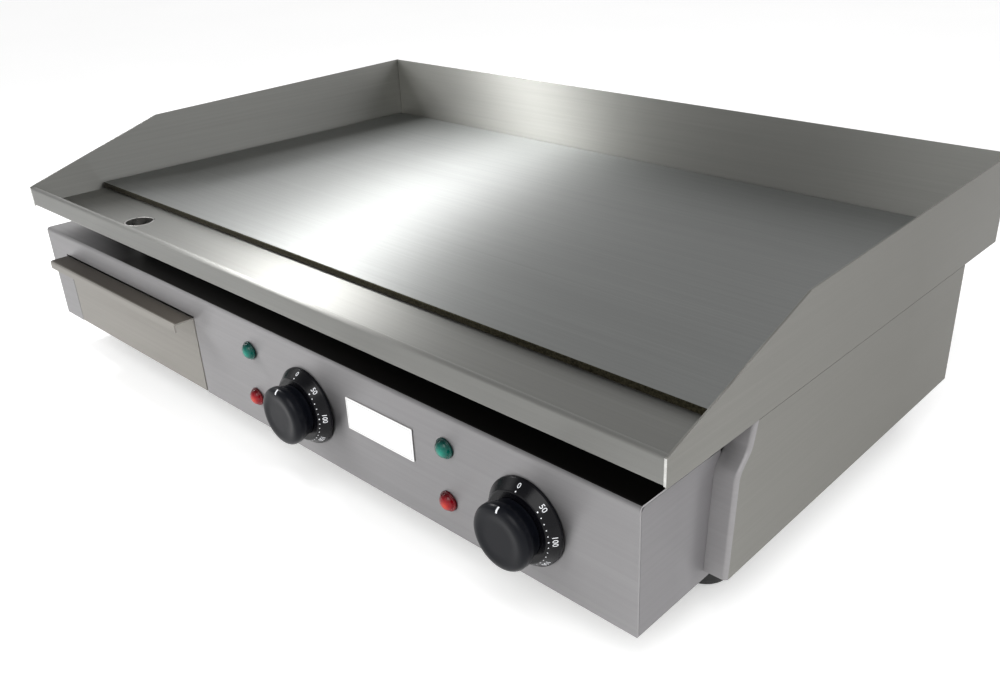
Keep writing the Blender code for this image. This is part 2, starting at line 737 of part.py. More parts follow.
def make_foot(name, x, depth):
    """Rubber foot with a blind hole for its bolt, and the bolt through the base plate above it."""
    bore = BOLT_RADIUS + GAP
    top = Z_BODY - GAP
    bore_end = top - 0.022
    neck = 0.0160
    neck_foot = top - 0.006
    sole = 0.0185
    sole_top = 0.0040
    sole_chamfer = 0.0012
    foot = [(0.0, bore_end), (bore, bore_end), (bore, top), (neck, top), (neck, neck_foot),
            (sole, sole_top), (sole - sole_chamfer, 0.0), (0.0, 0.0)]
    turned(name, foot, RUBBER, (x, Y_RIM + depth, 0.0), steps=32)
    head = 0.0060
    head_chamfer = 0.0011
    seat = Z_BODY + SHEET + GAP
    head_top = seat + 0.0034
    tip = bore_end + 0.003
    bolt = [(0.0, head_top), (head - head_chamfer, head_top), (head, head_top - head_chamfer), (head, seat),
            (BOLT_RADIUS, seat), (BOLT_RADIUS, tip), (0.0, tip)]
    turned(name + "_bolt", bolt, ZINC, (x, Y_RIM + depth, 0.0), steps=16)


# ---------------------------------------------------------------- the whole griddle
def build():
    make_griddle_plate()
    make_back_guard()
    make_gutter_tray()
    make_drain_spout()
    make_front_panel()
    make_box_floor()
    make_rear_panel()
    make_base_plate()
    make_heat_shield()
    for name, side in (("left", -1), ("right", 1)):
        make_side_guard(name + "_splash_guard", side)
        make_box_side(name + "_box_side", side)
        make_side_panel(name + "_side_panel", side)
        make_support_rail(name + "_support_rail", side)
        make_heating_element(name + "_heating_element", ZONES[name])
        make_heater_clamp(name + "_heater_clamp", ZONES[name])
        for end, depth in FOOT_DEPTHS.items():
            make_foot(end + "_" + name + "_foot", side * FOOT_X, depth)
    make_cross_bar("front_support_bar", RAIL_FRONT, 1)
    make_cross_bar("rear_support_bar", RAIL_REAR, -1)
    loom_inset = 0.015
    loom_ends = (TERMINAL_X[0] + loom_inset, TERMINAL_X[1] - loom_inset)
    for name, knob_x, terminal_x in zip(("left", "right"), KNOB_X, loom_ends):
        make_thermostat(name + "_thermostat", knob_x)
        make_capillary(name + "_capillary", knob_x, BULB_X[name])
        make_dial_bezel(name + "_dial_bezel", knob_x)
        make_knob(name, knob_x)
        make_wire_loom(name + "_wire_loom", knob_x, terminal_x)
        for label, drop, finish in zip(("power", "heating"), LAMP_DROPS, (GREEN_LENS, RED_LENS)):
            make_lamp(name, label, knob_x + LAMP_OFFSET, Z_DECK - drop, finish)
    make_name_plate()
    make_drawer()
    make_drawer_runner("left_drawer_runner", DRAWER_X[0] + TRAY_INSET, 1)
    make_drawer_runner("right_drawer_runner", DRAWER_X[1] - TRAY_INSET, -1)
    make_terminal_block()
    make_cord_gland()


build()
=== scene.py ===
"""Looks of the flat top griddle: brushed sheet, ground cooking plate, dials, lamps and fixings.

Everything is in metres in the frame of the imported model: +X to the operator's right, the controls
face -Y, +Z is up, and the feet stand on z = 0.
"""

import json
import math

import bmesh
import bpy
from mathutils import Euler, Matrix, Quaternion, Vector


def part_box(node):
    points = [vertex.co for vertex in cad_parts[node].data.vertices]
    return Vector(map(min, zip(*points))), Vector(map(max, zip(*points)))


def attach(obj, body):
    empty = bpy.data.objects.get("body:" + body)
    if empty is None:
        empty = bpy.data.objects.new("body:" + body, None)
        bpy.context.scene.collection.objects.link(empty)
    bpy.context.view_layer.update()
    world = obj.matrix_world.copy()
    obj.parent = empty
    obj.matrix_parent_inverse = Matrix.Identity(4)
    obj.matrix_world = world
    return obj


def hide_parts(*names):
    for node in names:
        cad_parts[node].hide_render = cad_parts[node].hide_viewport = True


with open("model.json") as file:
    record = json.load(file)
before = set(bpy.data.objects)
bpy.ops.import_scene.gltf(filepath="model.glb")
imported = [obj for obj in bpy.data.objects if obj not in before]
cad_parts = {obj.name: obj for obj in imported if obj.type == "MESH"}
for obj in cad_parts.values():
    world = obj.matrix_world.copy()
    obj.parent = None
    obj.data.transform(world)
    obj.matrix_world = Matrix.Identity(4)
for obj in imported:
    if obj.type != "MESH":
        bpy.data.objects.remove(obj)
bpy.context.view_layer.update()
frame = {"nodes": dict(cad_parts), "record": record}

BODY = "griddle_body"
SLOTS = {part["node"]: part["material_slot"] for part in frame["record"]["subparts"]}


# ---------------------------------------------------------------- shader building
class Shader:
    """A Principled material under construction, with short calls for the nodes that feed it."""

    def __init__(self, name, colour, roughness, metallic=0.0, **inputs):
        self.material = bpy.data.materials.new(name)
        self.material.use_nodes = True
        self.tree = self.material.node_tree
        self.surface = self.tree.nodes["Principled BSDF"]
        self.surface.inputs["Base Color"].default_value = (*colour, 1.0)
        self.surface.inputs["Roughness"].default_value = roughness
        self.surface.inputs["Metallic"].default_value = metallic
        for key, value in inputs.items():
            self.surface.inputs[key.replace("_", " ")].default_value = value
        self.place = self.add("ShaderNodeTexCoord")

    def add(self, kind, **settings):
        node = self.tree.nodes.new(kind)
        for key, value in settings.items():
            setattr(node, key, value)
        return node

    def link(self, output, target):
        self.tree.links.new(output, target)

    def feed(self, output, name):
        self.link(output, self.surface.inputs[name])

    def axis(self, source, name):
        """One axis of the place in the object ("Object") or of the surface's direction ("Normal")."""
        split = self.add("ShaderNodeSeparateXYZ")
        self.link(self.place.outputs[source], split.inputs["Vector"])
        return split.outputs[name]

    def noise(self, scale, detail=3.0, roughness=0.55, stretch=(1.0, 1.0, 1.0), seed=0.0):
        """Noise in object space, whose cells are 1 / (scale * stretch) metres along each axis."""
        mapping = self.add("ShaderNodeMapping")
        mapping.inputs["Scale"].default_value = stretch
        mapping.inputs["Location"].default_value = (seed, 0.7 * seed, 1.3 * seed)
        self.link(self.place.outputs["Object"], mapping.inputs["Vector"])
        noise = self.add("ShaderNodeTexNoise")
        noise.inputs["Scale"].default_value = scale
        noise.inputs["Detail"].default_value = detail
        noise.inputs["Roughness"].default_value = roughness
        self.link(mapping.outputs["Vector"], noise.inputs["Vector"])
        return noise.outputs["Fac"]

    def ramp(self, value, low, high, from_low=0.0, from_high=1.0):
        """The value, taken from one range to another and clamped."""
        node = self.add("ShaderNodeMapRange")
        node.inputs["From Min"].default_value = from_low
        node.inputs["From Max"].default_value = from_high
        node.inputs["To Min"].default_value = low
        node.inputs["To Max"].default_value = high
        self.link(value, node.inputs["Value"])
        return node.outputs["Result"]

    def maths(self, operation, first, second):
        node = self.add("ShaderNodeMath", operation=operation)
        for socket, value in zip(node.inputs, (first, second)):
            if isinstance(value, (int, float)):
                socket.default_value = value
            else:
                self.link(value, socket)
        return node.outputs["Value"]

    def colours(self, value, *stops):
        """A colour ramp through (position, (r, g, b)) stops."""
        node = self.add("ShaderNodeValToRGB")
        elements = node.color_ramp.elements
        while len(elements) < len(stops):
            elements.new(0.5)
        for element, (position, colour) in zip(elements, stops):
            element.position = position
            element.color = (*colour, 1.0)
        self.link(value, node.inputs["Fac"])
        return node.outputs["Color"]

    def mix(self, share, first, second):
        node = self.add("ShaderNodeMix", data_type="RGBA")
        self.link(share, node.inputs["Factor"])
        for socket, colour in ((node.inputs[6], first), (node.inputs[7], second)):
            if isinstance(colour, tuple):
                socket.default_value = (*colour, 1.0)
            else:
                self.link(colour, socket)
        return node.outputs[2]

    def bump(self, *layers):
        """Bump from (height, strength, distance) layers, the first one lowest."""
        normal = None
        for height, strength, distance in layers:
            node = self.add("ShaderNodeBump")
            node.inputs["Strength"].default_value = strength
            node.inputs["Distance"].default_value = distance
            self.link(height, node.inputs["Height"])
            if normal is not None:
                self.link(normal, node.inputs["Normal"])
            normal = node.outputs["Normal"]
        self.feed(normal, "Normal")


def grain_stretch(along, long=0.004):
    """Noise stretch whose cells are long in one direction and fine in the other two."""
    return tuple(long if axis == along else 1.0 for axis in "XYZ")


# ---------------------------------------------------------------- materials
STEEL = (0.335, 0.335, 0.320)


def facing_share(made, axis):
    """1 where the surface faces along an axis, such as "Z" or "-Z", and 0 where it faces elsewhere."""
    sign = -1.0 if axis[0] == "-" else 1.0
    return made.ramp(made.axis("Normal", axis[-1]), 0.0, 1.0, 0.90 * sign, 0.985 * sign)


def grain(made, along):
    """Feeds the tangent round the grain's axis; faces square to the grain take theirs round the Z axis."""
    across = made.add("ShaderNodeTangent", direction_type="RADIAL", axis=along)
    level = made.add("ShaderNodeTangent", direction_type="RADIAL", axis="Z")
    steepness = made.maths("ABSOLUTE", made.axis("Normal", along), 0.0)
    square = made.ramp(steepness, 0.0, 1.0, 0.70, 0.72)
    choice = made.add("ShaderNodeMix", data_type="VECTOR")
    made.link(square, choice.inputs[0])
    made.link(across.outputs["Tangent"], choice.inputs[4])
    made.link(level.outputs["Tangent"], choice.inputs[5])
    made.feed(choice.outputs[1], "Tangent")


def brushed_steel(name, along, colour=STEEL, roughness=0.45, anisotropy=1.0, seed=0.0, painted_shade=None, painted_fade=None,
                  metallic=1.0):
    """Sheet with its grain along one axis: fine scratches, a little soft unevenness, faint smears.

    Painted shade is given as (axis, colour, x where it starts, x where it is full): faces turned along that
    axis are painted darker there, standing in for the shade they sit in.
    A painted fade is (colour, y where it starts, y where it is full): painted light and shade, a tone painted
    on towards the sheet's back.
    """
    dark = tuple(0.86 * channel for channel in colour)
    made = Shader(name, colour, roughness, metallic, Anisotropic=anisotropy)
    scratches = made.noise(2600.0, 4.0, 0.7, grain_stretch(along), seed)
    lines = made.noise(420.0, 3.0, 0.6, grain_stretch(along, long=0.012), seed + 3.1)
    smears = made.noise(9.0, 4.0, 0.6, grain_stretch(along, long=0.35), seed + 7.7)
    ripple = made.noise(5.0, 2.0, 0.5, seed=seed + 1.9)
    tone = made.maths("ADD", made.maths("MULTIPLY", lines, 0.45), made.maths("MULTIPLY", smears, 0.55))
    clean = made.colours(tone, (0.30, dark), (0.70, colour))
    if painted_fade is not None:
        # Painted light and shade: the tone is painted on along y.
        shade, start, full = painted_fade
        clean = made.mix(made.ramp(made.axis("Object", "Y"), 0.0, 1.0, start, full), clean, shade)
    # Painted shade: faces turned along the axis are painted darker from start to full along x, with a wavy
    # edge.
    if painted_shade is not None:
        axis, shade_colour, start, full = painted_shade
        waves = made.maths("MULTIPLY", made.noise(60.0, 4.0, 0.6), 0.02)
        wavy = made.maths("ADD", made.axis("Object", "X"), waves)
        share = made.maths("MULTIPLY", facing_share(made, axis), made.ramp(wavy, 0.0, 1.0, start, full))
        clean = made.mix(share, clean, shade_colour)
    made.feed(clean, "Base Color")
    uneven = made.maths("ADD", made.maths("MULTIPLY", scratches, 0.5), made.maths("MULTIPLY", smears, 0.5))
    made.feed(made.ramp(uneven, roughness - 0.04, roughness + 0.04, 0.3, 0.7), "Roughness")
    grain(made, along)
    made.bump((ripple, 0.10, 0.0020), (scratches, 0.10, 0.00004))
    return made.material


def griddle_steel():
    """Ground cooking plate: bright and brushed side to side on top, with painted shade and reflection
    darkening it towards the rear; dark mill scale on its edges.
    """
    roughness = 0.47
    made = Shader("griddle_plate_steel", STEEL, roughness, 1.0, Anisotropic=1.0)
    scratches = made.noise(1900.0, 4.0, 0.7, grain_stretch("X", long=0.003))
    lines = made.noise(300.0, 3.0, 0.6, grain_stretch("X", long=0.010), 4.0)
    smears = made.noise(7.0, 4.0, 0.6, grain_stretch("X", long=0.3), 9.0)
    scale = made.noise(900.0, 5.0, 0.65, seed=2.0)
    top = made.ramp(made.axis("Normal", "Z"), 0.0, 1.0, 0.72, 0.92)
    tone = made.maths("ADD", made.maths("MULTIPLY", lines, 0.5), made.maths("MULTIPLY", smears, 0.5))
    ground = made.colours(tone, (0.30, (0.285, 0.291, 0.286)), (0.70, (0.330, 0.337, 0.331)))
    # Painted shade and reflection: the top is painted darker towards the rear, as the back wall's dark
    # reflection.
    rear = made.ramp(made.axis("Object", "Y"), 0.0, 0.45, 0.09, 0.235)
    ground = made.mix(rear, ground, (0.180, 0.190, 0.182))
    edge = made.colours(scale, (0.35, (0.020, 0.018, 0.012)), (0.70, (0.105, 0.095, 0.060)))
    made.feed(made.mix(top, edge, ground), "Base Color")
    fine = made.ramp(scratches, roughness - 0.05, roughness + 0.05, 0.3, 0.7)
    rough = made.ramp(scale, 0.55, 0.85, 0.3, 0.7)
    difference = made.maths("MULTIPLY", made.maths("SUBTRACT", fine, rough), top)
    made.feed(made.maths("ADD", rough, difference), "Roughness")
    grain(made, "X")
    made.bump((scale, 0.10, 0.0003), (scratches, 0.12, 0.00004))
    return made.material


def plated_steel(name, colour, roughness, seed=0.0):
    """Zinc plate or matt sheath: cloudy and evenly rough."""
    made = Shader(name, colour, roughness, 1.0)
    cloud = made.noise(160.0, 4.0, 0.6, seed=seed)
    speck = made.noise(2200.0, 3.0, 0.6, seed=seed + 5.0)
    dark = tuple(0.78 * channel for channel in colour)
    made.feed(made.colours(cloud, (0.35, dark), (0.65, colour)), "Base Color")
    made.feed(made.ramp(cloud, roughness - 0.08, roughness + 0.08, 0.3, 0.7), "Roughness")
    made.bump((speck, 0.15, 0.0001))
    return made.material


def plastic(name, colour, roughness, light=None, coat=0.0, grain=2400.0, depth=0.00005, shine=0.5):
    """Moulded plastic with a fine texture and slight cloudiness."""
    made = Shader(name, colour, roughness, Coat_Weight=coat, Coat_Roughness=0.12, Specular_IOR_Level=shine)
    texture = made.noise(grain, 3.0, 0.6)
    cloud = made.noise(90.0, 4.0, 0.6, seed=3.0)
    light = light or tuple(1.25 * channel for channel in colour)
    made.feed(made.colours(cloud, (0.35, colour), (0.70, light)), "Base Color")
    made.feed(made.ramp(cloud, roughness - 0.05, roughness + 0.07, 0.3, 0.7), "Roughness")
    made.bump((texture, 0.25, depth))
    return made.material


def lens_plastic(name, bright, colour, deep):
    """Clear coloured plastic, deep at its rim, with painted light: a bright patch painted a little right of
    and below the dome's middle.
    """
    made = Shader(name, colour, 0.10, IOR=1.49, Specular_IOR_Level=0.2, Coat_Weight=0.12, Coat_Roughness=0.04)
    # Painted light: the colour is brightest round a point right of and below the dome's middle and deepens
    # towards the rim.
    across = made.maths("SUBTRACT", made.axis("Object", "X"), 0.0012)
    up = made.maths("ADD", made.axis("Object", "Z"), 0.0010)
    square = made.maths("ADD", made.maths("MULTIPLY", across, across), made.maths("MULTIPLY", up, up))
    radius = made.maths("SQRT", square, 0.0)
    share = made.ramp(radius, 0.0, 1.0, 0.0, 0.0080)
    cloud = made.maths("MULTIPLY", made.noise(900.0, 2.0, 0.5), 0.12)
    tone = made.maths("ADD", share, cloud)
    made.feed(made.colours(tone, (0.10, bright), (0.50, colour), (0.95, deep)), "Base Color")
    made.feed(made.ramp(cloud, 0.06, 0.14, 0.03, 0.09), "Roughness")
    return made.material


EVERYWHERE = (-2.0, -1.9)    # x range left of the whole object, so that all of it gets the full painted shade
# All the brushed sheets below are one stainless steel. Their different base tones, and the lower metallic of
# some, are painted light and shade: each part is set lighter or darker to how brightly it is lit.
STEEL_X = brushed_steel("brushed_steel_along_x", "X")
STEEL_Y = brushed_steel("brushed_steel_along_y", "Y", seed=11.0)
# Painted shade: the body sides and the right guard are painted darker towards their back.
SIDE_STEEL = brushed_steel("side_sheet_along_y", "Y", (0.262, 0.258, 0.240), seed=23.0, metallic=0.8,
                           painted_fade=((0.168, 0.164, 0.148), -0.17, 0.08))
SEAM_STEEL = brushed_steel("folded_edge_sheet", "X", (0.275, 0.268, 0.272), anisotropy=0.0, seed=53.0,
                           metallic=0.35)
BACK_STEEL = brushed_steel("back_wall_sheet", "X", (0.450, 0.450, 0.425), seed=29.0)
# Painted light: the box sides are painted lighter towards their back, where they meet the body sides.
BOX_STEEL = brushed_steel("box_side_sheet", "Y", (0.238, 0.232, 0.239), seed=37.0, metallic=0.35,
                          painted_fade=((0.270, 0.263, 0.271), -0.18, -0.14))
# Painted shade on the pan's downward faces, in the dark gap under its rim.
TRAY_STEEL = brushed_steel("pan_sheet", "X", seed=41.0, painted_shade=("-Z", (0.020, 0.019, 0.017), *EVERYWHERE))
# Painted shade on the deck's upward faces under the pan's rim, growing from its left end to full towards the
# right.
PANEL_STEEL = brushed_steel("panel_sheet", "X", (0.425, 0.417, 0.424), seed=43.0,
                            painted_shade=("Z", (0.016, 0.015, 0.014), -0.335, -0.190))
# Painted shade on the drawer front's upward faces, under the pan's rim.
DRAWER_STEEL = brushed_steel("drawer_sheet", "X", (0.410, 0.392, 0.362), seed=47.0,
                             painted_shade=("Z", (0.085, 0.074, 0.062), *EVERYWHERE))
PLATE = griddle_steel()
ZINC = plated_steel("zinc_plate", (0.58, 0.58, 0.56), 0.42)
SHEATH = plated_steel("element_sheath", (0.20, 0.18, 0.16), 0.55, 8.0)
COPPER = plated_steel("drawn_copper", (0.72, 0.42, 0.28), 0.32, 12.0)
PHENOLIC = plastic("black_phenolic", (0.002, 0.002, 0.003), 0.22, shine=0.16)
KNOB_PLASTIC = plastic("knob_phenolic", (0.0025, 0.003, 0.005), 0.32, shine=0.13)
SPOUT_STEEL = plated_steel("spout_tube_steel", (0.52, 0.515, 0.50), 0.30, 17.0)
WELD = plated_steel("ground_weld", (0.60, 0.60, 0.58), 0.28, 31.0)
SLEEVE = plastic("cable_sleeve", (0.020, 0.020, 0.021), 0.55, grain=900.0, depth=0.0002)
RUBBER = plastic("black_rubber", (0.018, 0.018, 0.018), 0.75, grain=1200.0, depth=0.0001)
CERAMIC = plastic("glazed_ceramic", (0.74, 0.73, 0.68), 0.40, light=(0.82, 0.81, 0.77))
LABEL = plastic("white_label", (0.82, 0.82, 0.81), 0.38, light=(0.87, 0.87, 0.86), coat=0.4)
BORDER = plastic("grey_ink", (0.42, 0.42, 0.43), 0.45)
INK = plastic("white_ink", (0.72, 0.73, 0.76), 0.50, light=(0.80, 0.81, 0.83))
GREEN = lens_plastic("green_lens_plastic", (0.002, 0.235, 0.170), (0.001, 0.105, 0.080),
                     (0.0005, 0.018, 0.016))
RED = lens_plastic("red_lens_plastic", (0.50, 0.040, 0.020), (0.25, 0.004, 0.009), (0.050, 0.001, 0.003))

NODE_MATERIALS = {
    "griddle_plate": PLATE,
    "back_splash_guard": BACK_STEEL, "gutter_tray": TRAY_STEEL, "front_panel": PANEL_STEEL,
    "drawer_front": DRAWER_STEEL, "left_splash_guard": STEEL_Y, "right_splash_guard": SIDE_STEEL,
    "left_box_side": BOX_STEEL, "right_box_side": BOX_STEEL,
    "left_side_panel": SIDE_STEEL, "right_side_panel": SIDE_STEEL,
    "left_heating_element": SHEATH, "right_heating_element": SHEATH,
    "left_capillary": COPPER, "right_capillary": COPPER,
    "left_wire_loom": SLEEVE, "right_wire_loom": SLEEVE,
    "terminal_block": CERAMIC, "name_plate": LABEL, "cord_gland": PHENOLIC,
}
SLOT_MATERIALS = {
    "stainless_sheet": STEEL_X, "griddle_steel": PLATE, "zinc_plated_steel": ZINC,
    "element_sheath": SHEATH, "copper_line": COPPER, "black_phenolic": PHENOLIC,
    "cable_sleeve": SLEEVE, "green_lens": GREEN, "red_lens": RED, "name_plate_white": LABEL,
    "white_ceramic": CERAMIC, "black_rubber": RUBBER,
}


def dress_cad_nodes():
    for name, node in frame["nodes"].items():
        finish = NODE_MATERIALS.get(name) or SLOT_MATERIALS[SLOTS[name]]
        node.data.materials.clear()
        node.data.materials.append(finish)


dress_cad_nodes()

# ---------------------------------------------------------------- places on the model
def middle(node):
    """Middle of a CAD node's box."""
    low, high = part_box(node)
    return (low + high) / 2


SIDES = ("left", "right")
GAP = 0.0003                # air left between touching pieces
SHEET = 0.0012
HALF_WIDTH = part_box("right_splash_guard")[1].x
Y_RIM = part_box("front_panel")[0].y          # outer face of the rim and of the control panel
Y_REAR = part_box("rear_panel")[1].y
Z_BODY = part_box("base_plate")[0].z
Z_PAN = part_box("gutter_tray")[0].z          # underside of the pan
Z_KNOB = middle("left_knob").z
KNOB_X = {side: middle(side + "_knob").x for side in SIDES}
LAMP_X = {side: middle(side + "_power_lens").x for side in SIDES}
LAMP_Z = {label: middle("left_" + label + "_lens").z for label in ("power", "heating")}


# ---------------------------------------------------------------- mesh building
def smoothed_sheets():
    """Soft folds and slightly broken edges on the sheet metal, as modifiers on the CAD meshes."""
    group = bpy.data.node_groups.new("smooth_folds", "GeometryNodeTree")
    group.interface.new_socket("Geometry", in_out="INPUT", socket_type="NodeSocketGeometry")
    group.interface.new_socket("Geometry", in_out="OUTPUT", socket_type="NodeSocketGeometry")
    start = group.nodes.new("NodeGroupInput")
    angle = group.nodes.new("GeometryNodeInputMeshEdgeAngle")
    compare = group.nodes.new("FunctionNodeCompare")
    compare.operation = "LESS_THAN"
    compare.inputs["B"].default_value = math.radians(32)
    edges = group.nodes.new("GeometryNodeSetShadeSmooth")
    edges.domain = "EDGE"
    faces = group.nodes.new("GeometryNodeSetShadeSmooth")
    faces.domain = "FACE"
    end = group.nodes.new("NodeGroupOutput")
    group.links.new(angle.outputs["Unsigned Angle"], compare.inputs["A"])
    group.links.new(start.outputs["Geometry"], edges.inputs["Geometry"])
    group.links.new(compare.outputs["Result"], edges.inputs["Shade Smooth"])
    group.links.new(edges.outputs["Geometry"], faces.inputs["Geometry"])
    group.links.new(faces.outputs["Geometry"], end.inputs["Geometry"])
    for name, node in frame["nodes"].items():
        if SLOTS[name] in ("stainless_sheet", "griddle_steel"):
            edge = node.modifiers.new("broken_edges", "BEVEL")
            edge.width = 0.00022
            edge.segments = 2
            edge.limit_method = "ANGLE"
            edge.angle_limit = math.radians(40)
        folds = node.modifiers.new("smooth_folds", "NODES")
        folds.node_group = group
        flat_faces(node)


def flat_faces(piece):
    """Keeps the shading of large flat faces flat beside their rounded edges."""
    weighted = piece.modifiers.new("flat_faces", "WEIGHTED_NORMAL")
    weighted.keep_sharp = True
    weighted.weight = 90


def rounded(section, steps=4):
    """The section, a list of (radius, reach, rounding), with its corners rounded off."""
    points = [Vector(corner[:2]) for corner in section]
    path = []
    for index, (point, corner) in enumerate(zip(points, section)):
        cut = corner[2] if len(corner) > 2 else 0.0
        before = points[index - 1] - point
        after = points[(index + 1) % len(points)] - point
        if cut == 0.0:
            path.append(point)
            continue
        start = point + before.normalized() * min(cut, 0.45 * before.length)
        end = point + after.normalized() * min(cut, 0.45 * after.length)
        for step in range(steps + 1):
            share = step / steps
            path.append((1 - share) ** 2 * start + 2 * share * (1 - share) * point + share ** 2 * end)
    return path


def finished(name, bm, at, finish, body=BODY):
    """The bmesh as a smooth-shaded piece whose origin is at `at`, riding on a CAD body."""
    bmesh.ops.remove_doubles(bm, verts=bm.verts, dist=1e-7)
    bmesh.ops.recalc_face_normals(bm, faces=bm.faces)
    mesh = bpy.data.meshes.new(name)
    bm.to_mesh(mesh)
    bm.free()
    for face in mesh.polygons:
        face.use_smooth = True
    mesh.set_sharp_from_angle(angle=math.radians(30))
    mesh.materials.append(finish)
    piece = bpy.data.objects.new(name, mesh)
    bpy.context.scene.collection.objects.link(piece)
    piece.location = at
    flat_faces(piece)
    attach(piece, body)
    return piece


def turned(name, section, at, facing, finish, body=BODY, steps=96):
    """A closed piece of revolution: the section's reach runs from `at` along `facing`."""
    bm = bmesh.new()
    turn = Vector((0, 0, 1)).rotation_difference(Vector(facing))
    rings = []
    for radius, reach in rounded(section):
        count = 1 if radius < 1e-6 else steps
        angles = [2 * math.pi * step / count for step in range(count)]
        rings.append([bm.verts.new(turn @ Vector((radius * math.cos(a), radius * math.sin(a), reach)))
                      for a in angles])
    pairs = list(zip(rings, rings[1:]))
    if len(rings[0]) > 1:
        pairs.append((rings[-1], rings[0]))
    for first, second in pairs:
        for step in range(steps):
            corners = [first[step % len(first)], first[(step + 1) % len(first)],
                       second[(step + 1) % len(second)], second[step % len(second)]]
            corners = list(dict.fromkeys(corners))
            if len(corners) > 2:
                bm.faces.new(corners)
    return finished(name, bm, at, finish, body)


def along_slope(points, radius):
    """Reach of a sloping section at a radius, between its (radius, reach) points."""
    for (outer, low), (inner, high) in zip(points, points[1:]):
        if inner <= radius <= outer:
            return low + (high - low) * (outer - radius) / (outer - inner)
    return points[-1][1] if radius < points[-1][0] else points[0][1]


def loft(bm, loops):
    """Closed skin through loops of the same length, with a face over each end."""
    rows = [[bm.verts.new(place) for place in loop] for loop in loops]
    for first, second in zip(rows, rows[1:]):
        for step in range(len(first)):
            after = (step + 1) % len(first)
            bm.faces.new((first[step], first[after], second[after], second[step]))
    bm.faces.new(rows[0][::-1])
    bm.faces.new(rows[-1])


def block(name, low, high, finish):
    """A box between two corners, its edges softened."""
    soft = 0.00025
    low = Vector(low)
    high = Vector(high)
    at = (low + high) / 2
    bm = bmesh.new()
    bmesh.ops.create_cube(bm, size=1.0)
    for vert in bm.verts:
        vert.co = Vector(c * s for c, s in zip(vert.co, high - low))
    bmesh.ops.bevel(bm, geom=bm.edges[:], offset=soft, segments=3, profile=0.5, affect="EDGES")
    return finished(name, bm, at, finish)


# ---------------------------------------------------------------- knobs and dials
BEZEL_RIM = 0.0290
BEZEL_CROWN = 0.0235
BEZEL_HEIGHT = 0.0090
BEZEL_SLOPE = [(BEZEL_RIM, 0.0020), (0.0280, 0.0032), (BEZEL_CROWN, BEZEL_HEIGHT)]
KNOB_FACE = 0.0245
KNOB_SHOULDER = [(0.0215, 0.0215), (0.0199, 0.0237), (0.0170, KNOB_FACE)]
SCALE_STEP = 45.5           # degrees of the dial for each 50 degrees of heat
SCALE_FIRST = 43.0          # where the 50 stands
FIGURE_HEIGHT = 0.0034
FIGURE_RING = 0.0266        # radius through the middle of the figures
DOT_RING = 0.0243


def make_bezel(side):
    section = [(BEZEL_CROWN, BEZEL_HEIGHT, 0.0010), (0.0280, 0.0032, 0.0008), (BEZEL_RIM, 0.0020, 0.0006),
               (BEZEL_RIM, GAP), (0.0065, GAP), (0.0065, BEZEL_HEIGHT, 0.0004)]
    piece = turned(side + "_bezel_moulding", section, (KNOB_X[side], Y_RIM, Z_KNOB), (0, -1, 0),
                   PHENOLIC, steps=128)
    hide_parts(side + "_dial_bezel")


def make_knob(side):
    section = [(0.0, 0.0237), (0.0118, 0.0238, 0.0020), (0.0170, KNOB_FACE, 0.0020), (0.0199, 0.0237, 0.0012),
               (0.0215, 0.0215, 0.0012), (0.0215, 0.0175, 0.0012), (0.0190, 0.0118, 0.0020),
               (0.0190, 0.0094, 0.0005), (0.0033, 0.0094), (0.0033, 0.0183), (0.0, 0.0183)]
    piece = turned(side + "_knob_moulding", section, (KNOB_X[side], Y_RIM, Z_KNOB), (0, -1, 0),
                   KNOB_PLASTIC, side + "_knob", steps=128)
    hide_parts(side + "_knob")


def figures(text, height):
    """The outline of some figures as a closed flat mesh 1 thick, centred on the origin."""
    curve = bpy.data.curves.new("figures", "FONT")
    curve.body = text
    curve.size = height / 0.70
    curve.align_x = "CENTER"
    curve.align_y = "CENTER"
    curve.extrude = 0.5
    curve.resolution_u = 3
    holder = bpy.data.objects.new("figures", curve)
    bpy.context.scene.collection.objects.link(holder)
    depsgraph = bpy.context.evaluated_depsgraph_get()
    mesh = bpy.data.meshes.new_from_object(holder.evaluated_get(depsgraph))
    bpy.data.objects.remove(holder)
    return mesh


def on_dial(across, outward, level, angle, radius):
    """Place on the bezel's cone, clockwise from the top, relative to the knob's centre on the panel."""
    slant = 0.613
    place_radius = radius + slant * outward
    turn = angle + across / place_radius
    reach = along_slope(BEZEL_SLOPE, place_radius) + level
    return Vector((place_radius * math.sin(turn), -reach, place_radius * math.cos(turn)))


def make_scale(side):
    """White temperature scale on the bezel: figures each 50 degrees and a dot each 10."""
    ink_low = -0.00012
    ink_high = 0.00005
    bm = bmesh.new()
    labels = [("0", 0.0)] + [(str(50 * (n + 1)), SCALE_FIRST + SCALE_STEP * n) for n in range(6)]
    for text, degrees in labels:
        start = len(bm.verts)
        bm.from_mesh(figures(text, FIGURE_HEIGHT))
        bm.verts.ensure_lookup_table()
        for vert in bm.verts[start:]:
            level = ink_high if vert.co.z > 0 else ink_low
            vert.co = on_dial(vert.co.x, vert.co.y, level, math.radians(degrees), FIGURE_RING)
    tens = [0.0] + [SCALE_FIRST + SCALE_STEP * n / 5 for n in range(26)]
    for degrees in tens:
        bold = 0.00048 if degrees == 0.0 or tens.index(degrees) % 5 == 1 else 0.00036
        circle = [(bold * math.cos(math.pi * n / 6), bold * math.sin(math.pi * n / 6)) for n in range(12)]
        loft(bm, [[on_dial(x, y, level, math.radians(degrees), DOT_RING) for x, y in circle]
                  for level in (ink_low, ink_high)])
    finished(side + "_dial_scale", bm, (KNOB_X[side], Y_RIM, Z_KNOB), INK)


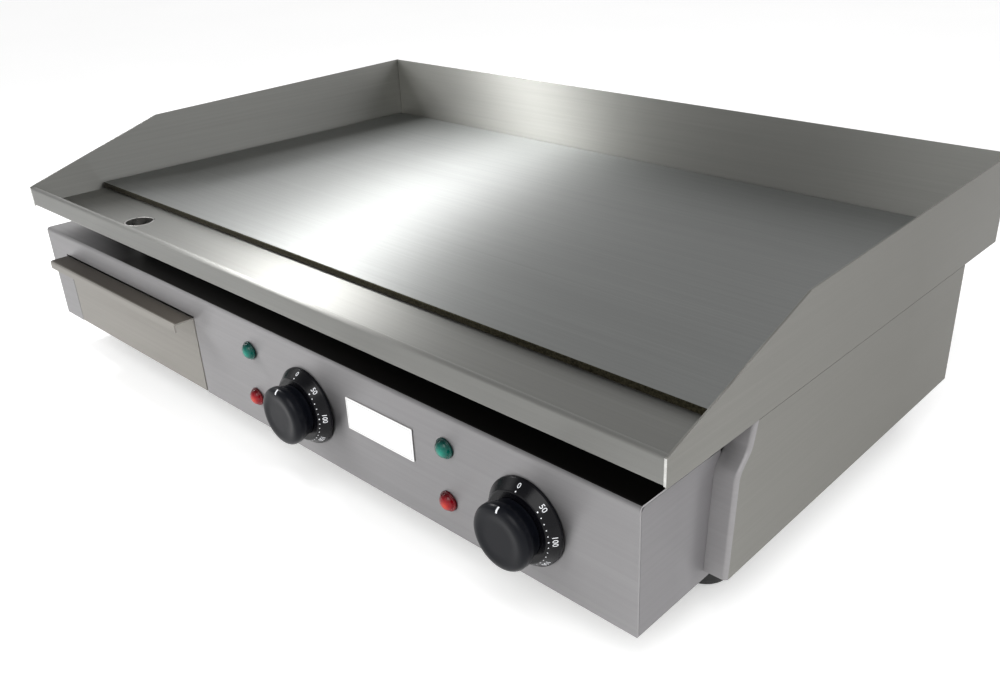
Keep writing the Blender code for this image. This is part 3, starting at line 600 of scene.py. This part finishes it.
def make_pointer(side):
    """White dash over the shoulder of the grip, on its top when the knob is at rest."""
    half_width = 0.0006
    inner_end = 0.0184
    outer_end = 0.0213
    bm = bmesh.new()
    loops = []
    for step in range(9):
        radius = inner_end + (outer_end - inner_end) * step / 8
        reach = along_slope(KNOB_SHOULDER, radius)
        loops.append([Vector((x, -(reach + level), radius))
                      for x, level in ((-half_width, -0.00035), (half_width, -0.00035),
                                       (half_width, 0.00005), (-half_width, 0.00005))])
    loft(bm, loops)
    finished(side + "_knob_pointer", bm, (KNOB_X[side], Y_RIM, Z_KNOB), INK,
             side + "_knob")


# ---------------------------------------------------------------- lamps, label, feet, spout, gland
def make_lens(side, label, finish):
    section = [(0.0, 0.0056)]
    for ring in range(1, 8):
        angle = math.pi / 2 * ring / 8
        section.append((0.0060 * math.sin(angle), 0.0018 + 0.0038 * math.cos(angle)))
    section += [(0.0060, 0.0018), (0.0062, 0.0014, 0.0003), (0.0071, 0.0014, 0.0004), (0.0071, GAP),
                (0.0, GAP)]
    at = (LAMP_X[side], Y_RIM, LAMP_Z[label])
    piece = turned(side + "_" + label + "_lens_dome", section, at, (0, -1, 0), finish, steps=64)
    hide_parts(side + "_" + label + "_lens")


def make_foot(corner):
    section = [(0.0, 0.0145), (0.0033, 0.0145), (0.0033, Z_BODY - GAP), (0.0160, Z_BODY - GAP, 0.0010),
               (0.0160, 0.0305, 0.0010), (0.0185, 0.0040, 0.0010), (0.0173, 0.0, 0.0010), (0.0, 0.0)]
    centre = middle(corner + "_foot")
    piece = turned(corner + "_foot_rubber", section, (centre.x, centre.y, 0.0), (0, 0, 1), RUBBER,
                   steps=64)
    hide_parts(corner + "_foot")


def make_spout():
    low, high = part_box("drain_spout")
    centre = (low + high) / 2
    outside = (high.x - low.x) / 2
    bore = outside - SHEET
    foot = low.z - Z_PAN
    section = [(outside, SHEET, 0.0003), (outside, foot, 0.0003), (bore, foot, 0.0003), (bore, SHEET, 0.0003)]
    piece = turned("drain_spout_tube", section, (centre.x, centre.y, Z_PAN), (0, 0, 1), SPOUT_STEEL)
    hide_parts("drain_spout")


def make_gland():
    section = [(0.0098, 0.0120), (0.0098, -GAP), (0.0140, -GAP, 0.0004), (0.0140, -0.0050, 0.0008),
               (0.0118, -0.0068, 0.0006), (0.0095, -0.0150, 0.0006), (0.0079, -0.0175, 0.0004),
               (0.0048, -0.0175, 0.0004), (0.0048, 0.0120)]
    centre = middle("cord_gland")
    piece = turned("cord_gland_moulding", section, (centre.x, Y_REAR, centre.z), (0, -1, 0), SLEEVE,
                   steps=64)
    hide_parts("cord_gland")


def make_label_border():
    """Thin grey line round the blank name plate."""
    low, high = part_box("name_plate")
    inset = 0.0012
    line = 0.00035
    y_front = low.y - 0.00003
    y_back = low.y + 0.00010
    outer = [(low.x + inset, low.z + inset), (high.x - inset, low.z + inset),
             (high.x - inset, high.z - inset), (low.x + inset, high.z - inset)]
    inner = [(low.x + inset + line, low.z + inset + line), (high.x - inset - line, low.z + inset + line),
             (high.x - inset - line, high.z - inset - line), (low.x + inset + line, high.z - inset - line)]
    bm = bmesh.new()
    loops = [[bm.verts.new((x, y, z)) for x, z in ring]
             for ring, y in ((outer, y_front), (inner, y_front), (inner, y_back), (outer, y_back))]
    for first, second in zip(loops, loops[1:] + loops[:1]):
        for step in range(4):
            after = (step + 1) % 4
            bm.faces.new((first[step], first[after], second[after], second[step]))
    finished("name_plate_border", bm, (0, 0, 0), BORDER)


# ---------------------------------------------------------------- screws and welds
def make_screw(name, at, facing):
    """Pan-head screw with a cross recess, its head standing on a sheet."""
    size = 0.0034
    height = 0.42 * size
    turn = Vector((0, 0, 1)).rotation_difference(Vector(facing))
    bm = bmesh.new()
    loops = []
    steps = 32
    for radius, reach in ((1.0, -0.1), (1.0, 0.35), (0.93, 0.68), (0.78, 0.88), (0.55, 0.98), (0.50, 1.0)):
        loops.append([(radius, reach)] * steps)
    for radius, reach in ((0.50, 1.0), (0.42, 0.25)):
        cross = []
        for step in range(steps):
            arm = abs(math.cos(4 * math.pi * step / steps))
            cross.append((radius * (0.42 + 0.58 * arm ** 2), reach))
        loops.append(cross)
    skin = [[turn @ Vector((size * radius * math.cos(2 * math.pi * step / steps),
                            size * radius * math.sin(2 * math.pi * step / steps), height * reach))
             for step, (radius, reach) in enumerate(loop)] for loop in loops]
    loft(bm, skin)
    return finished(name, bm, at, ZINC)


def make_screws():
    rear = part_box("rear_panel")
    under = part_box("base_plate")
    inset = 0.012
    base_inset = 0.090
    for x, side in ((rear[0].x + inset, "left"), (0.0, "middle"), (rear[1].x - inset, "right")):
        for z, level in ((rear[0].z + inset, "low"), (rear[1].z - inset, "high")):
            make_screw("rear_panel_" + level + "_" + side + "_screw", (x, rear[1].y, z), (0, 1, 0))
    for x, side in ((under[0].x + base_inset, "left"), (0.0, "middle"), (under[1].x - base_inset, "right")):
        for y, end in ((under[0].y + inset, "front"), (under[1].y - inset, "rear")):
            make_screw("base_plate_" + end + "_" + side + "_screw", (x, y, under[0].z), (0, 0, -1))


def make_welds():
    """Ground weld seams where the pan's sheets meet at its corners."""
    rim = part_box("gutter_tray")
    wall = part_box("back_splash_guard")
    half = 0.0009
    proud = 0.0001
    depth = 0.0006
    for side, sign in (("left", -1), ("right", 1)):
        seam = sign * (HALF_WIDTH - SHEET - GAP / 2)
        block(side + "_rim_weld", (seam - half, Y_RIM - proud, rim[0].z + 0.0006),
              (seam + half, Y_RIM + depth, rim[1].z - 0.0008), WELD)
        block(side + "_rear_weld", (seam - half, wall[1].y - depth, wall[0].z + 0.0010),
              (seam + half, wall[1].y + proud, wall[1].z - 0.0010), WELD)


def make_side_panel(side, sign):
    """Body side with a folded, leaning front edge, and the ground seam where that meets the control box."""
    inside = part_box("right_side_panel")[0].x
    fold = 0.0031
    front = rounded([(0.0640, Z_BODY), (0.0690, 0.1058, 0.0042), (0.0805, 0.1178, 0.0042),
                     (0.0850, 0.1347)], 6)
    turns = [math.pi / 2 * step / 6 for step in range(7)]
    panel = bmesh.new()
    seam = bmesh.new()
    sections = []
    seams = []
    for depth, z in front:
        y = Y_RIM + depth
        centre = (HALF_WIDTH - fold, y + fold)
        skin = [(inside, y)]
        skin += [(centre[0] + fold * math.sin(a), centre[1] - fold * math.cos(a)) for a in turns]
        skin += [(HALF_WIDTH, Y_REAR), (HALF_WIDTH - SHEET, Y_REAR)]
        skin += [(centre[0] + (fold - SHEET) * math.sin(a), centre[1] - (fold - SHEET) * math.cos(a))
                 for a in reversed(turns)]
        skin += [(inside, y + SHEET)]
        sections.append([Vector((sign * x, across, z)) for x, across in skin])
        seams.append([Vector((sign * x, y + back, z)) for x, back in
                      ((inside - 0.0005, 0.0002), (inside + 0.0006, -0.00004), (inside + 0.0006, 0.0011),
                       (inside - 0.0005, 0.0011))])
    loft(panel, sections)
    loft(seam, seams)
    piece = finished(side + "_side_sheet", panel, (0, 0, 0), SIDE_STEEL)
    piece.data.materials.append(SEAM_STEEL)
    # Painted light: the forward-facing folded edge takes a lighter, less metallic copy of the sheet, toned to
    # the box side beside it.
    for face in piece.data.polygons:
        face.material_index = 1 if face.normal.y < -0.3 else 0
    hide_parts(side + "_side_panel")
    finished(side + "_box_seam", seam, (0, 0, 0), SEAM_STEEL)


def make_details():
    smoothed_sheets()
    for side in SIDES:
        make_bezel(side)
        make_knob(side)
        make_scale(side)
        make_pointer(side)
        make_lens(side, "power", GREEN)
        make_lens(side, "heating", RED)
    for end in ("front", "rear"):
        for side in SIDES:
            make_foot(end + "_" + side)
    make_spout()
    make_gland()
    make_label_border()
    make_screws()
    make_welds()
    make_side_panel("left", -1)
    make_side_panel("right", 1)


make_details()

# ---------------------------------------------------------------- floor, light and camera
CAMERA_AT = (0.5875, -0.5411, 0.4063)
CAMERA_AZIMUTH = 41.89
CAMERA_ELEVATION = 26.08
CAMERA_ROLL = -1.17
CAMERA_LENS = 34.61
CAMERA_SHIFT_X = -0.0566
AIM = (0.0, -0.014, 0.155)  # where the softboxes point


def make_camera():
    data = bpy.data.cameras.new("camera")
    data.lens = CAMERA_LENS
    data.sensor_width = 36.0
    data.shift_x = CAMERA_SHIFT_X
    camera = bpy.data.objects.new("camera", data)
    bpy.context.scene.collection.objects.link(camera)
    camera.location = CAMERA_AT
    camera.rotation_mode = "QUATERNION"
    aim = Euler((math.radians(90 - CAMERA_ELEVATION), 0.0, math.radians(CAMERA_AZIMUTH)))
    camera.rotation_quaternion = aim.to_quaternion() @ Quaternion((0, 0, 1), math.radians(CAMERA_ROLL))
    bpy.context.scene.camera = camera


def make_floor():
    made = Shader("pale_floor", (0.88, 0.88, 0.88), 0.7)
    cloud = made.noise(3.0, 2.0, 0.5)
    made.feed(made.colours(cloud, (0.3, (0.87, 0.87, 0.87)), (0.7, (0.89, 0.89, 0.89))), "Base Color")
    made.surface.inputs["Emission Color"].default_value = (1.0, 1.0, 1.0, 1.0)
    made.surface.inputs["Emission Strength"].default_value = 0.33
    bpy.ops.mesh.primitive_grid_add(x_subdivisions=8, y_subdivisions=8, size=24.0)
    floor = bpy.context.active_object
    floor.name = "floor"
    floor.location.z = -0.0002
    floor.data.materials.append(made.material)


def softbox(name, at, size, watts):
    """A rectangular light of (width, height), turned to the middle of the cooking plate."""
    data = bpy.data.lights.new(name, "AREA")
    data.shape = "RECTANGLE"
    data.size, data.size_y = size
    data.energy = watts
    light = bpy.data.objects.new(name, data)
    bpy.context.scene.collection.objects.link(light)
    light.location = at
    light.rotation_mode = "QUATERNION"
    light.rotation_quaternion = (Vector(at) - Vector(AIM)).to_track_quat("Z", "Y")


FILL_DIRECTIONS = (         # soft room light: (strength fitted by least squares, direction it comes from)
    (1.06, (1.0, 0.0, 0.1)),
    (0.70, (0.0, 1.0, 0.1)),
    (0.37, (-1.0, 0.0, 0.1)),
    (0.30, (0.0, -1.0, 0.1)),
)


def make_world():
    """Soft room light, the sum of one broad glow from each side."""
    world = bpy.data.worlds.new("studio")
    world.use_nodes = True
    tree = world.node_tree
    background = tree.nodes["Background"]
    background.inputs["Color"].default_value = (1.0, 1.0, 1.0, 1.0)
    place = tree.nodes.new("ShaderNodeTexCoord")
    total = None
    for strength, direction in FILL_DIRECTIONS:
        facing = tree.nodes.new("ShaderNodeVectorMath")
        facing.operation = "DOT_PRODUCT"
        facing.inputs[1].default_value = Vector(direction).normalized()
        tree.links.new(place.outputs["Generated"], facing.inputs[0])
        glow = tree.nodes.new("ShaderNodeMapRange")
        glow.interpolation_type = "SMOOTHSTEP"
        glow.inputs["From Min"].default_value = -0.10
        glow.inputs["From Max"].default_value = 0.95
        glow.inputs["To Max"].default_value = strength
        tree.links.new(facing.outputs["Value"], glow.inputs["Value"])
        if total is None:
            total = glow.outputs["Result"]
            continue
        both = tree.nodes.new("ShaderNodeMath")
        tree.links.new(total, both.inputs[0])
        tree.links.new(glow.outputs["Result"], both.inputs[1])
        total = both.outputs["Value"]
    tree.links.new(total, background.inputs["Strength"])
    bpy.context.scene.world = world


make_camera()
make_floor()
make_world()
# Watts fitted by least squares and rounded, apart from the key, which was raised.
softbox("key", (-0.765, -0.188, 0.750), (0.10, 0.10), 2.9)
softbox("key_high", (-0.765, -0.094, 0.835), (0.10, 0.10), 0.9)
softbox("key_left", (-0.865, -0.154, 0.750), (0.10, 0.10), 0.45)
softbox("left_glow", (-1.465, 0.486, 0.585), (0.8, 0.6), 1.4)
softbox("left_front_glow", (-1.265, -0.714, 0.835), (0.6, 0.6), 1.3)
softbox("front_right_fill", (0.695, -1.044, 1.365), (1.1, 1.1), 12.6)
softbox("front_fill", (0.0, -2.214, 0.935), (1.5, 1.5), 8.0)
bpy.context.scene.view_settings.view_transform = "Standard"
